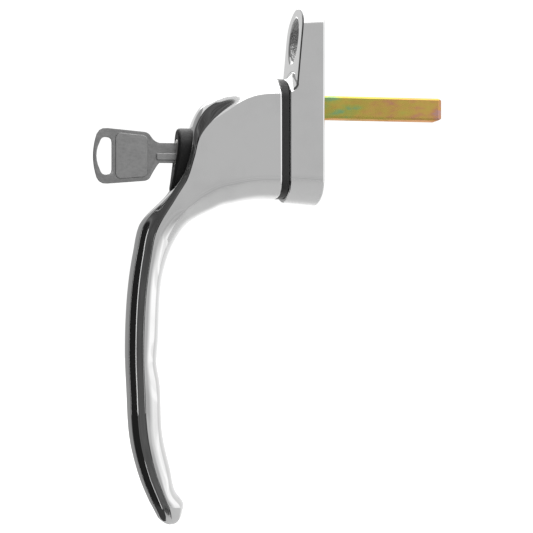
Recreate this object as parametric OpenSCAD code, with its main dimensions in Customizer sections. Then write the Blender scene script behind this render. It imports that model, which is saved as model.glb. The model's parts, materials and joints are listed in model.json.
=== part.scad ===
// Espagnolette window handle: base, turning lever with a key lock, square spindle.
// Millimetres. The spindle axis is Y and the back of the base is Y = 0; the room lies toward -Y, +Z is up.
// "out" is the distance from the back of the base toward the room.

/* [Base] */
// Length of the base, up and down
base_len = 62.7; // [62:0.1:63.4]
// Width of the base at its back
base_w = 25.6; // [25.2:0.1:26.4]
// Thickness of the base at the pedestal
base_t = 10.9; // [10.6:0.1:11.3]
// Thickness of the base at its upper end
base_top_t = 6.3; // [6:0.1:6.8]
// Distance between the two fixing screws
screw_pitch = 43; // [42.6:0.1:43.4]
// Radius of a fixing screw hole
screw_r = 2.65; // [2.5:0.05:2.8]

/* [Lever] */
// Thickness of the black plate behind the lever
gasket_t = 2.3; // [2:0.1:2.5]
// Height of the neck above the spindle axis
neck_top = 8.6; // [8.6:0.1:9]
// Depth of the neck below the spindle axis
neck_drop = 29; // [28.6:0.1:29.4]
// Half of the width of the neck
neck_hw = 12; // [11.8:0.05:12.2]
// Reach of the grip from the back of the base
grip_out = 60.3; // [59.5:0.1:61.3]
// Depth of the tip below the spindle axis
tip_drop = 130; // [125:0.2:134]
// Half of the width of the grip at its middle
grip_hw = 8.6; // [8.2:0.05:9]
// Height of the raised spine of the grip
spine_h = 1.4; // [1.2:0.1:1.7]

/* [Spindle] */
// Width across the flats of the spindle
spindle_w = 7; // [6.8:0.05:7.1]
// Length of the spindle behind the base
spindle_out = 40.4; // [30:0.1:45]

/* [Lock] */
// Depth of the lock axis below the spindle axis
lock_drop = 15; // [14.8:0.05:15.2]
// Radius of the plug
plug_r = 4.4; // [4.3:0.02:4.44]
// Eccentricity of the cam pin
cam_e = 1.1; // [1.02:0.01:1.12]
// Front of the black surround, out from the back of the base, at the lock axis
surround_out = 44.4; // [44.2:0.1:44.8]

/* [Key] */
// Thickness of the key
key_t = 1.8; // [1.6:0.05:1.9]
// Height of the key blade
blade_h = 6.1; // [5.8:0.05:6.2]
// Length of the bow
bow_len = 17.4; // [16.4:0.1:18]
// Height of the bow at its outer end
bow_h = 17.2; // [16.4:0.1:18]

/* [Hidden] */
$fn = 48;

// running clearance of a turning or sliding fit
run = 0.05;
// clearance between seated pieces
seat = 0.1;
// clearance of a pin pressed into its hole
press = 0.02;

// lever planes, out from the back of the base
gasket_out = base_t + seat;
neck_out = gasket_out + gasket_t;

// hub of the lever and the bush round it
hub_r = spindle_w * 0.7071 + 1.45;
bush_in = hub_r + run;
bush_r = bush_in + 1.05;
bush_out = neck_out + 4.1;
collar_r = 9.2;
stack_r = collar_r + 0.3;
stack_t = 4.4;

// collar of the bush, spring washer, plain washer and circlip, stacked toward the back
collar_t = 1.1;
wave_room = 0.87;
washer_t = 0.68;
circlip_t = 0.8;
collar_back = stack_t - collar_t;
washer_front = collar_back - wave_room;
washer_back = washer_front - washer_t;
circlip_front = washer_back - run;
circlip_back = circlip_front - circlip_t;

// lock on the neck
lock_z = -lock_drop;
barrel_r = plug_r + 1.6;
barrel_back = neck_out + 6.9;
pocket_out = 36;
barrel_front = pocket_out - 0.2;
plug_back = barrel_back - 1.8;
slide_back = neck_out + 0.7;
slide_t = 2.8;
slide_w = 6;
nose_w = 4;
nose_z = -(bush_r + 0.35);
cam_r = 0.9;
cam_x = cam_e * 0.7071;
cam_z = lock_z - cam_e * 0.7071;
stroke = cam_e * 1.4142;
channel_out = slide_back + slide_t + 0.3;
wafer_t = 0.8;
wafer_pitch = 2.4;
wafer_hw = 2.1;
wafer_first = barrel_back + 3.6;
wafer_fall = 0.6;
keyway_back = wafer_first - 2.2;

// key, its own axis at the lock axis
blade_tip = keyway_back + 0.8;
shank_out = 49.6;
bow_in = shank_out + 3;
bow_end = bow_in + bow_len;
rib_t = 0.6;
rib_top = -0.25;
rib_low = 0.8 - blade_h / 2;

// round bar along Y from out a to out b
module bar_y(r, a, b, z = 0, x = 0) {
    translate([x, -a, z])
        rotate([90, 0, 0])
            cylinder(r = r, h = b - a);
}

// cone along Y, radius ra at out a and rb at out b
module cone_y(ra, rb, a, b, z = 0) {
    translate([0, -a, z])
        rotate([90, 0, 0])
            cylinder(r1 = ra, r2 = rb, h = b - a);
}

// outline drawn in X and Z, thick from out a to out b
module plate_y(a, b, taper = 1) {
    translate([0, -a, 0])
        rotate([90, 0, 0])
            linear_extrude(height = b - a, scale = taper, slices = 1)
                children();
}

// outline drawn in out and Z, thick across X
module slab_x(w) {
    rotate([90, 0, 90])
        linear_extrude(height = w, center = true)
            mirror([1, 0])
                children();
}

// box from out a to out b, half width hw, from z0 to z1
module box_y(hw, a, b, z0, z1, x = 0) {
    translate([x - hw, -b, z0])
        cube([2 * hw, b - a, z1 - z0]);
}

// quadratic curve point
function bez2(p, q, r, t) = (1 - t) * (1 - t) * p + 2 * t * (1 - t) * q + t * t * r;

// Base

// the upper end reaches a little further from the spindle than the lower end
base_up = base_len / 2 + 0.4;
base_down = base_len / 2 - 0.4;
arch_r = 19;
step_r = 17;
step_z = neck_top - step_r;

// arched end: a crown of radius arch_r that runs into the sides through a corner of radius rc
function arch_end(hw, top, rc) =
    let (cz = top - arch_r, cx = hw - rc, dz = sqrt((arch_r - rc) * (arch_r - rc) - cx * cx),
        a = atan2(dz, cx))
    concat([for (i = [0:5]) [cx + rc * cos(a * i / 5), cz + dz + rc * sin(a * i / 5)]],
        [for (i = [1:4]) [arch_r * cos(a + (90 - a) * i / 4), cz + arch_r * sin(a + (90 - a) * i / 4)]]);

function mirrored(p) = concat(p, [for (i = [len(p) - 2:-1:0]) [-p[i][0], p[i][1]]]);

module base_outline(hw, top, low) {
    up = mirrored(arch_end(hw, top, 7));
    down = mirrored(arch_end(hw, low, 7.4));
    polygon(concat(up, [for (p = down) [-p[0], -p[1]]]));
}

// the drafted block from which the base is shaped
module base_block(t) {
    plate_y(0, t, [1 - 0.0045 * t, 1 - 0.0026 * t])
        base_outline(base_w / 2, base_up, base_down);
}

// thickness of the sloping upper face at a height
slope_foot = 6;
slope_t = base_t - 2.3;
function slope_at(z) = slope_t - (slope_t - base_top_t) * (z - slope_foot) / (base_up - slope_foot);

module base_shape() {
    intersection() {
        base_block(base_t);
        union() {
            slab_x(2 * base_w)
                polygon([[-1, -base_len], [slope_at(slope_foot), -base_len],
                    [slope_at(slope_foot), slope_foot], [slope_at(base_len), base_len], [-1, base_len]]);
            bar_y(step_r, -1, base_t + 1, step_z);
            box_y(base_w, -1, base_t + 1, -base_len, step_z);
            base_skirt();
        }
    }
}

// hollow fillet where the pedestal stands on the sloping face
skirt_w = 2.5;
module base_skirt() {
    translate([0, 0, step_z])
        rotate([90, 0, 0])
            rotate_extrude($fn = 96)
                polygon(concat([[step_r - 2, 0], [step_r + skirt_w, 0], [step_r + skirt_w, slope_t - 2]],
                    [for (i = [0:6]) [step_r + skirt_w * (1 - sin(i * 15)), base_t - 2.6 * cos(i * 15)]],
                    [[step_r - 2, base_t]]));
}

module screw_cut(z, face, head_r) {
    bar_y(screw_r, -1, base_t + 1, z);
    cone_y(screw_r, head_r + 2, face - (head_r - screw_r), face + 2, z);
}

// hollows in the back of the casting, round the screw bosses and the hub boss
module base_hollow() {
    difference() {
        plate_y(-1, 4)
            base_outline(base_w / 2 - 2.2, base_up - 2.2, base_down - 2.2);
        bar_y(stack_r + 1.8, -2, 5);
        bar_y(screw_r + 2.6, -2, 5, screw_pitch / 2);
        bar_y(screw_r + 2.6, -2, 5, -screw_pitch / 2);
        box_y(1, -2, 5, -base_len, base_len);
    }
}

module base_plate() {
    color([0.8, 0.81, 0.83])
        difference() {
            base_shape();
            base_hollow();
            bar_y(bush_r + run, -1, base_t + 1);
            bar_y(stack_r, -1, stack_t);
            screw_cut(screw_pitch / 2, slope_at(screw_pitch / 2), 7.1);
            screw_cut(-screw_pitch / 2, base_t, 4.8);
        }
}

// the fixed bush, notched at its front for the lock slide in three lever positions
module base_bush() {
    color([0.55, 0.56, 0.58])
        difference() {
            union() {
                bar_y(bush_r, collar_back, bush_out);
                bar_y(collar_r, collar_back, stack_t - press);
            }
            bar_y(bush_in, 0, bush_out + 1);
            box_y(nose_w / 2 + 0.2, slide_back - 0.4, bush_out + 1, -bush_r - 1, 0);
            box_y(bush_r + 1, slide_back - 0.4, bush_out + 1, -nose_w / 2 - 0.2, nose_w / 2 + 0.2);
        }
}

// spring washer with three waves
wave_mid = (collar_back + washer_front) / 2;
module wave_washer() {
    n = 36;
    r = [hub_r + 0.2, collar_r - 0.2];
    pts = [for (i = [0:n - 1], s = [-1, 1], k = [0, 1])
        let (a = i * 360 / n) [r[k] * cos(a), 0.24 * cos(3 * a) + s * 0.14, r[k] * sin(a)]];
    quads = [for (i = [0:n - 1], q = [[0, 1], [1, 3], [3, 2], [2, 0]])
        [4 * i + q[0], 4 * i + q[1], 4 * ((i + 1) % n) + q[1], 4 * ((i + 1) % n) + q[0]]];
    color([0.5, 0.51, 0.53])
        translate([0, -wave_mid, 0])
            polyhedron(pts, [for (q = quads, h = [0, 1]) h == 0 ? [q[0], q[1], q[2]] : [q[0], q[2], q[3]]]);
}

module thrust_washer() {
    color([0.62, 0.63, 0.65])
        difference() {
            bar_y(collar_r, washer_back, washer_front);
            bar_y(hub_r + run, 0, stack_t);
        }
}

circlip_groove = hub_r - 0.6;
module retaining_circlip() {
    color([0.3, 0.3, 0.32])
        difference() {
            union() {
                bar_y(hub_r + 1.3, circlip_back, circlip_front);
                for (s = [-1, 1])
                    bar_y(1.4, circlip_back, circlip_front, hub_r + 0.9, s * 2.4);
            }
            bar_y(circlip_groove + press, 0, stack_t);
            box_y(1.1, 0, stack_t, 0, 2 * hub_r);
            for (s = [-1, 1])
                bar_y(0.6, 0, stack_t, hub_r + 1.1, s * 2.4);
        }
}

// Lever

// stations from the neck to the tip: shelf out and up, back out and up, half width, half width of the shelf,
// half width of the crest, chamfer depth, chamfer bulge, crown, spine, rounding of the back edge
stations = [
    [0, 7, 0, -29, 12, 7.4, 4, 5.2, 1, 1.6, 0, 7],
    [9.4, 5.6, 5.4, -29, 11.9, 7.7, 4.4, 5.2, 1, 1.8, 0, 7],
    [17, 1.9, 9.6, -29.5, 11.7, 8.3, 5, 5, 0.5, 1.9, 0, 7],
    [22.9, -2.5, 13, -30.2, 11.5, 8.8, 5.6, 4.3, 0, 1.7, 0, 7],
    [26, -8, 16.6, -31, 11.2, 9, 6, 3.1, 0, 1, 0, 6.8],
    [27.2, -15, 20.2, -32.6, 10.8, 8.9, 6.3, 2.1, 0, 0.6, 0, 6.5],
    [29.2, -21.9, 23.6, -34.2, 10.3, 8.5, 6.4, 1.9, 0, 0.4, 0, 5.6],
    [32.6, -27.5, 27, -36.3, 9.9, 8, 6.3, 1.9, 0, 0.3, 0, 4.2],
    [39.4, -38.6, 32.1, -43.4, 9.3, 6.6, 5.1, 2.1, 0, 1.55, 1, 2.4],
    [41.1, -46.6, 34.3, -49.4, 9, 6.2, 4.8, 2.1, 0, 1.55, 1, 1.9],
    [43.28, -72, 36.3, -71.8, 8.6, 5.9, 4.6, 2.1, 0, 1.55, 1, 1.7],
    [43.23, -79, 36.65, -78.4, 8.6, 5.9, 4.6, 2.1, 0, 1.55, 1, 1.7],
    [42.98, -85, 35.8, -83.6, 8.6, 5.9, 4.6, 2.1, 0, 1.55, 1, 1.7],
    [41.58, -102.6, 34.7, -100.8, 8.3, 5.6, 4.3, 2.1, 0, 1.55, 1, 1.7],
    [38.9, -112.6, 32.5, -110.2, 7.9, 5.3, 4.1, 2, 0, 1.5, 1, 1.7],
    [36.3, -119, 30.8, -117.2, 7.5, 5, 3.8, 1.9, 0, 1.4, 1, 1.6],
    [34.8, -122.4, 28.4, -120.8, 7.1, 4.7, 3.5, 1.7, 0, 1.3, 0.9, 1.6],
    [34.2, -124.3, 28.7, -122.7, 6.3, 4.1, 3, 1.5, 0, 1.1, 0.75, 1.5]];
tip_len = 3.4;
tip_from = 40;
back_flat = 0.55;
back_sag = 0.55;
side_lean = 0.85;
steps = 3;
drawn_reach = 46.2;
drawn_drop = 98;

// a station at the wanted sizes: reach of the grip, depth of the tip, widths of the neck and the grip
function sized(s) =
    let (ky = (grip_out - neck_out) / drawn_reach, kz = (tip_drop - neck_drop) / drawn_drop,
        g = min(1, max(0, (12 - s[4]) / 3.4)), kw = (neck_hw / 12) * (1 - g) + (grip_hw / 8.6) * g)
    [s[0] * ky, rise(s[1], kz), s[2] * ky, rise(s[3], kz), s[4] * kw, s[5] * kw, s[6] * kw,
        s[7], s[8], s[9], s[10] * spine_h, s[11]];
function rise(z, kz) = z > -29 ? z + (neck_top - 8.6) * max(0, z) / 7 + (29 - neck_drop) * min(0, z) / -29
    : -neck_drop + (z + 29) * kz;

T = [for (s = stations) sized(s)];
N = len(T);
gap_after = [for (i = [0:N - 2])
    (norm([T[i + 1][0] - T[i][0], T[i + 1][1] - T[i][1]])
        + norm([T[i + 1][2] - T[i][2], T[i + 1][3] - T[i][3]])) / 2];
function lean(i) = (T[i + 1] - T[i]) / gap_after[i];
function inner_slope(i) =
    (lean(i) * gap_after[i - 1] + lean(i - 1) * gap_after[i]) / (gap_after[i - 1] + gap_after[i]);
function slope_of(i) = i == 0 ? 1.5 * lean(0) - 0.5 * inner_slope(1)
    : i == N - 1 ? 1.5 * lean(N - 2) - 0.5 * inner_slope(N - 2) : inner_slope(i);

// smooth curve through the stations; the spine rises in straight ramps
function between(i, t) =
    let (h = gap_after[i], v = (2 * t * t * t - 3 * t * t + 1) * T[i]
        + (t * t * t - 2 * t * t + t) * h * slope_of(i)
        + (3 * t * t - 2 * t * t * t) * T[i + 1] + (t * t * t - t * t) * h * slope_of(i + 1))
    [for (c = [0:11]) c == 10 ? T[i][c] * (1 - t) + T[i + 1][c] * t : v[c]];
rows = concat([for (i = [0:N - 2], j = [0:steps - 1]) between(i, j / steps)], [T[N - 1]]);

// half of a section as width and height above the back, front middle to back middle
function half_section(v) =
    let (h = norm([v[0] - v[2], v[1] - v[3]]), b = v[4], a1 = v[5], a0 = v[6], c = v[7], k = v[9], sp = v[10],
        rs = min(v[11], h - c - 0.6), top = h + k + sp, a3 = back_flat * b, sag = back_sag,
        edge = [a1, h], side = [b, h - c], corner = [b, h - 2 * k / a1 * (b - a1)],
        ctrl = (edge + side) / 2 + v[8] * (corner - (edge + side) / 2),
        foot = [b - side_lean * sp / spine_h, rs], flank = h - c - rs,
        over = [b, rs + 0.9 * flank], bend = [b, rs + 0.4 * flank],
        turn = 2 * foot[0] - b, low = [turn, sag + 2 * sag * (turn - a3) / a3])
    concat([for (x = [0, a0 / 2, a0]) [x, top - k * x * x / (a1 * a1)]],
        [let (x = (a0 + a1) / 2) [x, top - k * x * x / (a1 * a1) - sp / 2]],
        [edge, bez2(edge, ctrl, side, 1 / 3), bez2(edge, ctrl, side, 2 / 3), side],
        [over, bez2(over, bend, foot, 1 / 2), foot],
        [for (t = [1, 2, 3]) bez2(foot, low, [a3, sag], t / 3)],
        [[a3 / 2, sag / 4], [0, 0]]);

function ring_of(v) =
    let (h = norm([v[0] - v[2], v[1] - v[3]]), dy = (v[0] - v[2]) / h, dz = (v[1] - v[3]) / h,
        p = half_section(v), m = len(p))
    [for (i = [0:2 * m - 3]) let (q = i < m ? p[i] : p[2 * m - 2 - i], s = i < m ? 1 : -1)
        [s * q[0], -neck_out - v[2] - q[1] * dy, v[3] + q[1] * dz]];

// the tip closes as the end of an ellipsoid on the last section
last = T[N - 1];
last_h = norm([last[0] - last[2], last[1] - last[3]]);
last_d = [(last[0] - last[2]) / last_h, (last[1] - last[3]) / last_h];
last_m = (last_h + last[9] + last[10]) / 2;
tip_mid = [0, -neck_out - last[2] - last_d[0] * last_m, last[3] + last_d[1] * last_m];
tip_dir = [0, -last_d[1], -last_d[0]];
end_ring = ring_of(last);
rings = concat([for (v = rows) ring_of(v)],
    [for (q = [50, 60, 69, 77, 84]) let (f = (sin(q) - sin(tip_from)) / (1 - sin(tip_from)))
        [for (p = end_ring) tip_mid + cos(q) / cos(tip_from) * (p - tip_mid) + f * tip_len * tip_dir]]);
ring_n = len(rings[0]);

module lever_skin() {
    m = len(rings);
    pts = [for (r = rings, p = r) p];
    polyhedron(pts, concat(
        [for (i = [0:m - 2], j = [0:ring_n - 1], k = [0, 1])
            let (a = i * ring_n + j, b = i * ring_n + (j + 1) % ring_n)
            k == 0 ? [a, b, b + ring_n] : [a, b + ring_n, a + ring_n]],
        [[for (j = [ring_n - 1:-1:0]) j]],
        [[for (j = [0:ring_n - 1]) (m - 1) * ring_n + j]]));
}

// outline of the neck at its back, also that of the gasket
module neck_outline() {
    p = rings[0];
    polygon([for (q = p) [q[0], q[2]]]);
}

hub_back = 0.4;
socket_out = neck_out + 10.7;
module lever() {
    color([0.82, 0.83, 0.85])
        difference() {
            union() {
                difference() {
                    lever_skin();
                    bar_y(bush_r + 0.15, neck_out - 1, bush_out + 0.2);
                }
                bar_y(hub_r, hub_back, bush_out + 0.4);
            }
            box_y(spindle_w / 2 + run, -1, socket_out, -spindle_w / 2 - run, spindle_w / 2 + run);
            difference() {
                bar_y(hub_r + 1, circlip_back - seat, circlip_front + run);
                bar_y(circlip_groove, 0, stack_t);
            }
            translate([-hub_r - 1, -pin_out, 0])
                rotate([0, 90, 0])
                    cylinder(r = pin_r + press, h = 2 * hub_r + 2);
            bar_y(barrel_r + run, barrel_back - 2.2, pocket_out + 20, lock_z);
            plate_y(pocket_out, pocket_out + 30)
                surround_outline(seat);
            box_y(slide_w / 2 + seat, neck_out - 1, channel_out, lock_z - 3.9, -hub_r + 0.5);
            box_y(nose_w / 2 + seat, neck_out - 1, channel_out, -hub_r - 1, -hub_r + 0.55);
            bar_y(cam_e + cam_r + 0.4, channel_out - 0.1, barrel_back, lock_z);
            translate([0, -peg_out, -2 * neck_drop])
                cylinder(r = peg_r + press, h = 2 * neck_drop + lock_z - barrel_r + 1);
        }
}

module lever_gasket() {
    color([0.12, 0.12, 0.13])
        difference() {
            plate_y(gasket_out, neck_out)
                neck_outline();
            bar_y(bush_r + 0.15, gasket_out - 1, neck_out + 1);
        }
}

// Spindle

module spindle() {
    f = spindle_w / 2;
    c = 0.6;
    color([0.72, 0.62, 0.3])
        difference() {
            intersection() {
                plate_y(-spindle_out, socket_out - 0.3)
                    polygon([[f, f - c], [f - c, f], [c - f, f], [-f, f - c], [-f, c - f], [c - f, -f],
                        [f - c, -f], [f, c - f]]);
                union() {
                    box_y(spindle_w, 1.1 - spindle_out, socket_out, -spindle_w, spindle_w);
                    spindle_point(1.1);
                }
            }
            translate([-spindle_w, -pin_out, 0])
                rotate([0, 90, 0])
                    cylinder(r = pin_r + press, h = 2 * spindle_w);
        }
}

// chamfered end of the spindle
module spindle_point(c) {
    translate([0, spindle_out - c, 0])
        rotate([-90, 0, 0])
            rotate([0, 0, 45])
                cylinder(r1 = spindle_w * 0.7071 + 0.05, r2 = spindle_w * 0.7071 - 0.85, h = c, $fn = 4);
}

pin_r = 1;
pin_out = 8;
module spindle_pin() {
    color([0.5, 0.5, 0.52])
        translate([-hub_r + 0.3, -pin_out, 0])
            rotate([0, 90, 0])
                cylinder(r = pin_r, h = 2 * hub_r - 0.6);
}

// Lock

// teardrop seen from the front: wide round top, narrower foot
surround_top_r = 6.6;
surround_low_r = 4.3;
surround_top_z = lock_z + 1.1;
surround_low_z = lock_z - 7.9;
module surround_outline(grow) {
    r = [surround_top_r + grow, surround_low_r + grow];
    dz = surround_top_z - surround_low_z;
    a = asin((r[0] - r[1]) / dz);
    translate([0, surround_top_z])
        circle(r = r[0]);
    translate([0, surround_low_z])
        circle(r = r[1]);
    polygon([[r[0] * cos(a), surround_top_z - r[0] * sin(a)], [-r[0] * cos(a), surround_top_z - r[0] * sin(a)],
        [-r[1] * cos(a), surround_low_z - r[1] * sin(a)], [r[1] * cos(a), surround_low_z - r[1] * sin(a)]]);
}

// the front sweeps out toward the foot
function surround_face(z) = surround_out + 0.0075 * pow(max(0, surround_top_z + 4.4 - z), 2);
module lock_surround() {
    ends = [surround_top_z + 9, surround_low_z - 6];
    color([0.1, 0.1, 0.11])
        difference() {
            plate_y(pocket_out + seat, surround_out + 5)
                surround_outline(0);
            slab_x(40)
                polygon(concat([[surround_out + 20, ends[0]]],
                    [for (i = [0:12]) let (z = ends[0] + (ends[1] - ends[0]) * i / 12) [surround_face(z), z]],
                    [[surround_out + 20, ends[1]]]));
            bar_y(plug_r + 0.12, pocket_out - 1, surround_out + 9, lock_z);
        }
}

module lock_barrel() {
    color([0.6, 0.6, 0.62])
        difference() {
            bar_y(barrel_r, barrel_back, barrel_front, lock_z);
            bar_y(plug_r + run, barrel_back - 1, barrel_front + 1, lock_z);
            for (a = [0, 90])
                translate([0, 0, lock_z])
                    rotate([0, a, 0])
                        box_y(wafer_hw + 0.2, barrel_back + 2.4, barrel_front - 2.4,
                            -plug_r - 0.85, plug_r + 0.85);
            translate([0, -peg_out, lock_z - barrel_r - 1])
                cylinder(r = peg_r + press, h = 1.7);
        }
}

peg_r = 0.9;
peg_out = barrel_back + 1.2;
peg_low = 1 - neck_drop;
module barrel_pin() {
    color([0.5, 0.5, 0.52])
        translate([0, -peg_out, peg_low])
            cylinder(r = peg_r, h = lock_z - barrel_r + 0.6 - peg_low);
}

// keyway with the wider lower half that takes the rib of the key
module keyway(grow, a, b) {
    box_y(key_t / 2 + grow, a, b, lock_z - blade_h / 2 - grow, lock_z + blade_h / 2 + grow);
    box_y((key_t + rib_t) / 2 + grow, a, b, lock_z - blade_h / 2 - grow, lock_z - 0.2 + grow, rib_t / 2);
}

clip_out = barrel_back - 0.9;
module lock_plug() {
    color([0.75, 0.75, 0.77])
        difference() {
            union() {
                bar_y(plug_r, plug_back, surround_out - 0.3, lock_z);
                cone_y(plug_r, plug_r - 0.5, surround_out - 0.31, surround_out + 0.2, lock_z);
            }
            bar_y(plug_r - 1, surround_out - 0.1, surround_out + 1, lock_z);
            keyway(0.1, keyway_back, surround_out + 1);
            for (i = [0:3])
                box_y(wafer_hw + 0.08, wafer_first + i * wafer_pitch - 0.06,
                    wafer_first + i * wafer_pitch + wafer_t + 0.06, lock_z - plug_r - 1, lock_z + plug_r + 1);
            for (i = [0:3])
                box_y(lug_w / 2 + 0.08, wafer_first + i * wafer_pitch - 0.06,
                    wafer_first + i * wafer_pitch + wafer_t + 0.06,
                    lock_z - lug_h - wafer_fall - 0.3, spring_top, lug_x);
            difference() {
                bar_y(plug_r + 1, clip_out, clip_out + 0.7, lock_z);
                bar_y(plug_r - 1, clip_out - 1, clip_out + 2, lock_z);
            }
            bar_y(cam_r + press, plug_back - 1, plug_back + 3, cam_z, cam_x);
        }
}

// four wafers, each with a window for the blade and a side lug for its spring
lug_w = 1.1;
lug_h = 0.9;
lug_x = -wafer_hw - lug_w / 2 + 0.02;
module plug_wafers() {
    color([0.76, 0.62, 0.28])
        for (i = [0:3])
            difference() {
                union() {
                    intersection() {
                        bar_y(plug_r - 0.08, wafer_first + i * wafer_pitch,
                            wafer_first + i * wafer_pitch + wafer_t, lock_z);
                        box_y(wafer_hw, 0, 60, lock_z - plug_r, lock_z + plug_r);
                    }
                    box_y(lug_w / 2 + 0.02, wafer_first + i * wafer_pitch,
                        wafer_first + i * wafer_pitch + wafer_t, lock_z - lug_h, lock_z, lug_x);
                }
                box_y((key_t + rib_t) / 2 + 0.18, 0, 60, lock_z - blade_h / 2 - 0.2,
                    lock_z + blade_h / 2 + wafer_fall + 0.12, rib_t / 2);
            }
}

// one small coil stands on the lug of each wafer, under the roof of its pocket in the plug
spring_r = 0.3;
spring_wire = 0.09;
spring_z = lock_z + 0.02;
spring_top = lock_z + 2;
module wafer_springs() {
    n = 24;
    m = 5;
    climb = spring_top - spring_z - 2 * spring_wire - 0.04;
    color([0.6, 0.6, 0.62])
        for (i = [0:3])
            translate([lug_x, -(wafer_first + i * wafer_pitch + wafer_t / 2), spring_z + spring_wire])
                polyhedron([for (j = [0:n], k = [0:m - 1])
                        let (a = j * 1080 / n, r = spring_r + spring_wire * cos(k * 360 / m))
                        [r * cos(a), r * sin(a), climb * j / n + spring_wire * sin(k * 360 / m)]],
                    concat([for (j = [0:n - 1], k = [0:m - 1], h = [0, 1])
                            let (p = j * m + k, q = j * m + (k + 1) % m)
                            h == 0 ? [p, q + m, q] : [p, p + m, q + m]],
                        [[for (k = [0:m - 1]) k]], [[for (k = [m - 1:-1:0]) n * m + k]]));
}

module plug_clip() {
    color([0.3, 0.3, 0.32])
        difference() {
            bar_y(plug_r + 0.9, clip_out + 0.05, clip_out + 0.65, lock_z);
            bar_y(plug_r - 0.98, clip_out - 1, clip_out + 2, lock_z);
            box_y(plug_r - 1.4, clip_out - 1, clip_out + 2, lock_z, lock_z + 2 * plug_r);
        }
}

module cam_pin() {
    color([0.5, 0.5, 0.52])
        bar_y(cam_r, slide_back + 0.1, plug_back + 2.9, cam_z, cam_x);
}

// bolt plate with a cross slot for the cam pin and a nose for the bush notches
module lock_slide() {
    color([0.66, 0.66, 0.68])
        difference() {
            union() {
                box_y(slide_w / 2, slide_back, slide_back + slide_t, lock_z - 3.5, nose_z - 2.2);
                box_y(nose_w / 2, slide_back, slide_back + slide_t, nose_z - 2.3, nose_z);
            }
            box_y(cam_r + 0.4, slide_back - 1, slide_back + slide_t + 1,
                cam_z - cam_r - 0.1, cam_z + cam_r + 0.1, cam_x + 0.15);
        }
}

// Key

// bow with arched ends, flaring from the shank and set a little low; upper shank to lower shank
bow_sink = 1.15;
function bow_curve(hb, hi, lo) = let (d = bow_sink) concat(
    [for (i = [0:4]) bez2([shank_out, hb], [bow_in - 1.4, hb + 0.3], [bow_in - 0.4, lo - 1.4 - d], i / 4)],
    [for (i = [1:4]) bez2([bow_in - 0.4, lo - 1.4 - d], [bow_in + 0.3, lo - d],
        [bow_in + 1.8, lo + 0.15 - d], i / 4)],
    [for (i = [0:4]) bez2([bow_end - 4.4, hi - 0.1 - d], [bow_end - 1.2, hi + 0.3 - d],
        [bow_end - 0.6, hi - 3.6 - d], i / 4)],
    [[bow_end, -d]],
    [for (i = [0:4]) bez2([bow_end - 0.6, 3.6 - hi - d], [bow_end - 1.2, -hi - 0.3 - d],
        [bow_end - 4.4, 0.1 - hi - d], i / 4)],
    [for (i = [0:3]) bez2([bow_in + 1.8, -lo - 0.15 - d], [bow_in + 0.1, -lo - d],
        [bow_in - 0.3, 1.4 - lo - d], i / 4)],
    [for (i = [0:4]) bez2([bow_in - 0.3, 1.4 - lo - d], [bow_in - 2.2, -hb - 0.6], [shank_out, -hb], i / 4)]);

// blade with four cuts in its lower edge and a slanted tip; lower shank to upper shank
function blade_curve(hb) = concat(
    [for (i = [3:-1:0], p = [[1.4, 0], [0.95, 1], [-0.15, 1], [-0.6, 0]])
        [wafer_first + i * wafer_pitch + p[0], p[1] * (0.5 + 0.25 * (i % 2)) - hb]],
    [[blade_tip + 0.6, -hb], [blade_tip, 0.6 - hb], [blade_tip, hb - 2.4], [blade_tip + 2.4, hb]]);

// ring hole: straight toward the blade, arched toward the end, with rounded corners
hole_h = 11.6;
hole_w = 4.65;
hole_r = 9;
hole_in = bow_end - 1 - hole_w;
function hole_half(s) = let (h = hole_h / 2, a = asin(4 / hole_r))
    concat([for (i = [0:3]) bez2([hole_in, s * (h - 1.6)], [hole_in, s * h], [hole_in + 1.6, s * h], i / 3)],
        [for (i = [0:3]) bez2([hole_in + 2.2, s * h], [hole_in + hole_w - 1.5, s * h],
            [hole_in + hole_w - hole_r * (1 - cos(a)), s * 4], i / 3)],
        [for (i = [2, 1]) [hole_in + hole_w - hole_r * (1 - cos(a * i / 3)), s * hole_r * sin(a * i / 3)]]);
module ring_hole() {
    up = hole_half(1);
    down = hole_half(-1);
    polygon(concat(up, [[hole_in + hole_w, 0]], [for (i = [len(down) - 1:-1:0]) down[i]]));
}

pad_rise = 0.25;
module key() {
    color([0.56, 0.56, 0.57])
        translate([0, 0, lock_z])
            difference() {
                union() {
                    slab_x(key_t)
                        polygon(concat(bow_curve(blade_h / 2, bow_h / 2, bow_h * 0.43),
                            blade_curve(blade_h / 2)));
                    translate([key_t / 4 + rib_t / 2, 0, 0])
                        slab_x(key_t / 2 + rib_t)
                            polygon([[blade_tip + 3, rib_low], [shank_out + 0.9, rib_low],
                                [shank_out + 0.9, rib_top], [blade_tip + 3, rib_top]]);
                    translate([0, 0, -bow_sink])
                        slab_x(key_t + 2 * pad_rise)
                            pad_outline();
                }
                translate([0, 0, -bow_sink])
                    slab_x(10)
                        ring_hole();
            }
}

module pad_outline() {
    r = 1.6;
    x0 = bow_in + 0.7;
    x1 = hole_in - 1.2;
    h = bow_h / 2 - 1.6;
    polygon(concat([for (i = [0:3]) [x1 - r + r * cos(i * 30), h - r + r * sin(i * 30)]],
        [for (i = [0:3]) [x0 + r - r * sin(i * 30), h - 0.6 - r + r * cos(i * 30)]],
        [for (i = [0:3]) [x0 + r - r * cos(i * 30), 0.6 - h + r - r * sin(i * 30)]],
        [for (i = [0:3]) [x1 - r + r * sin(i * 30), r - h - r * cos(i * 30)]]));
}

base_plate();
base_bush();
wave_washer();
thrust_washer();
retaining_circlip();
lever();
lever_gasket();
spindle();
spindle_pin();
lock_surround();
lock_barrel();
barrel_pin();
lock_plug();
plug_wafers();
wafer_springs();
plug_clip();
cam_pin();
lock_slide();
key();
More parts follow.
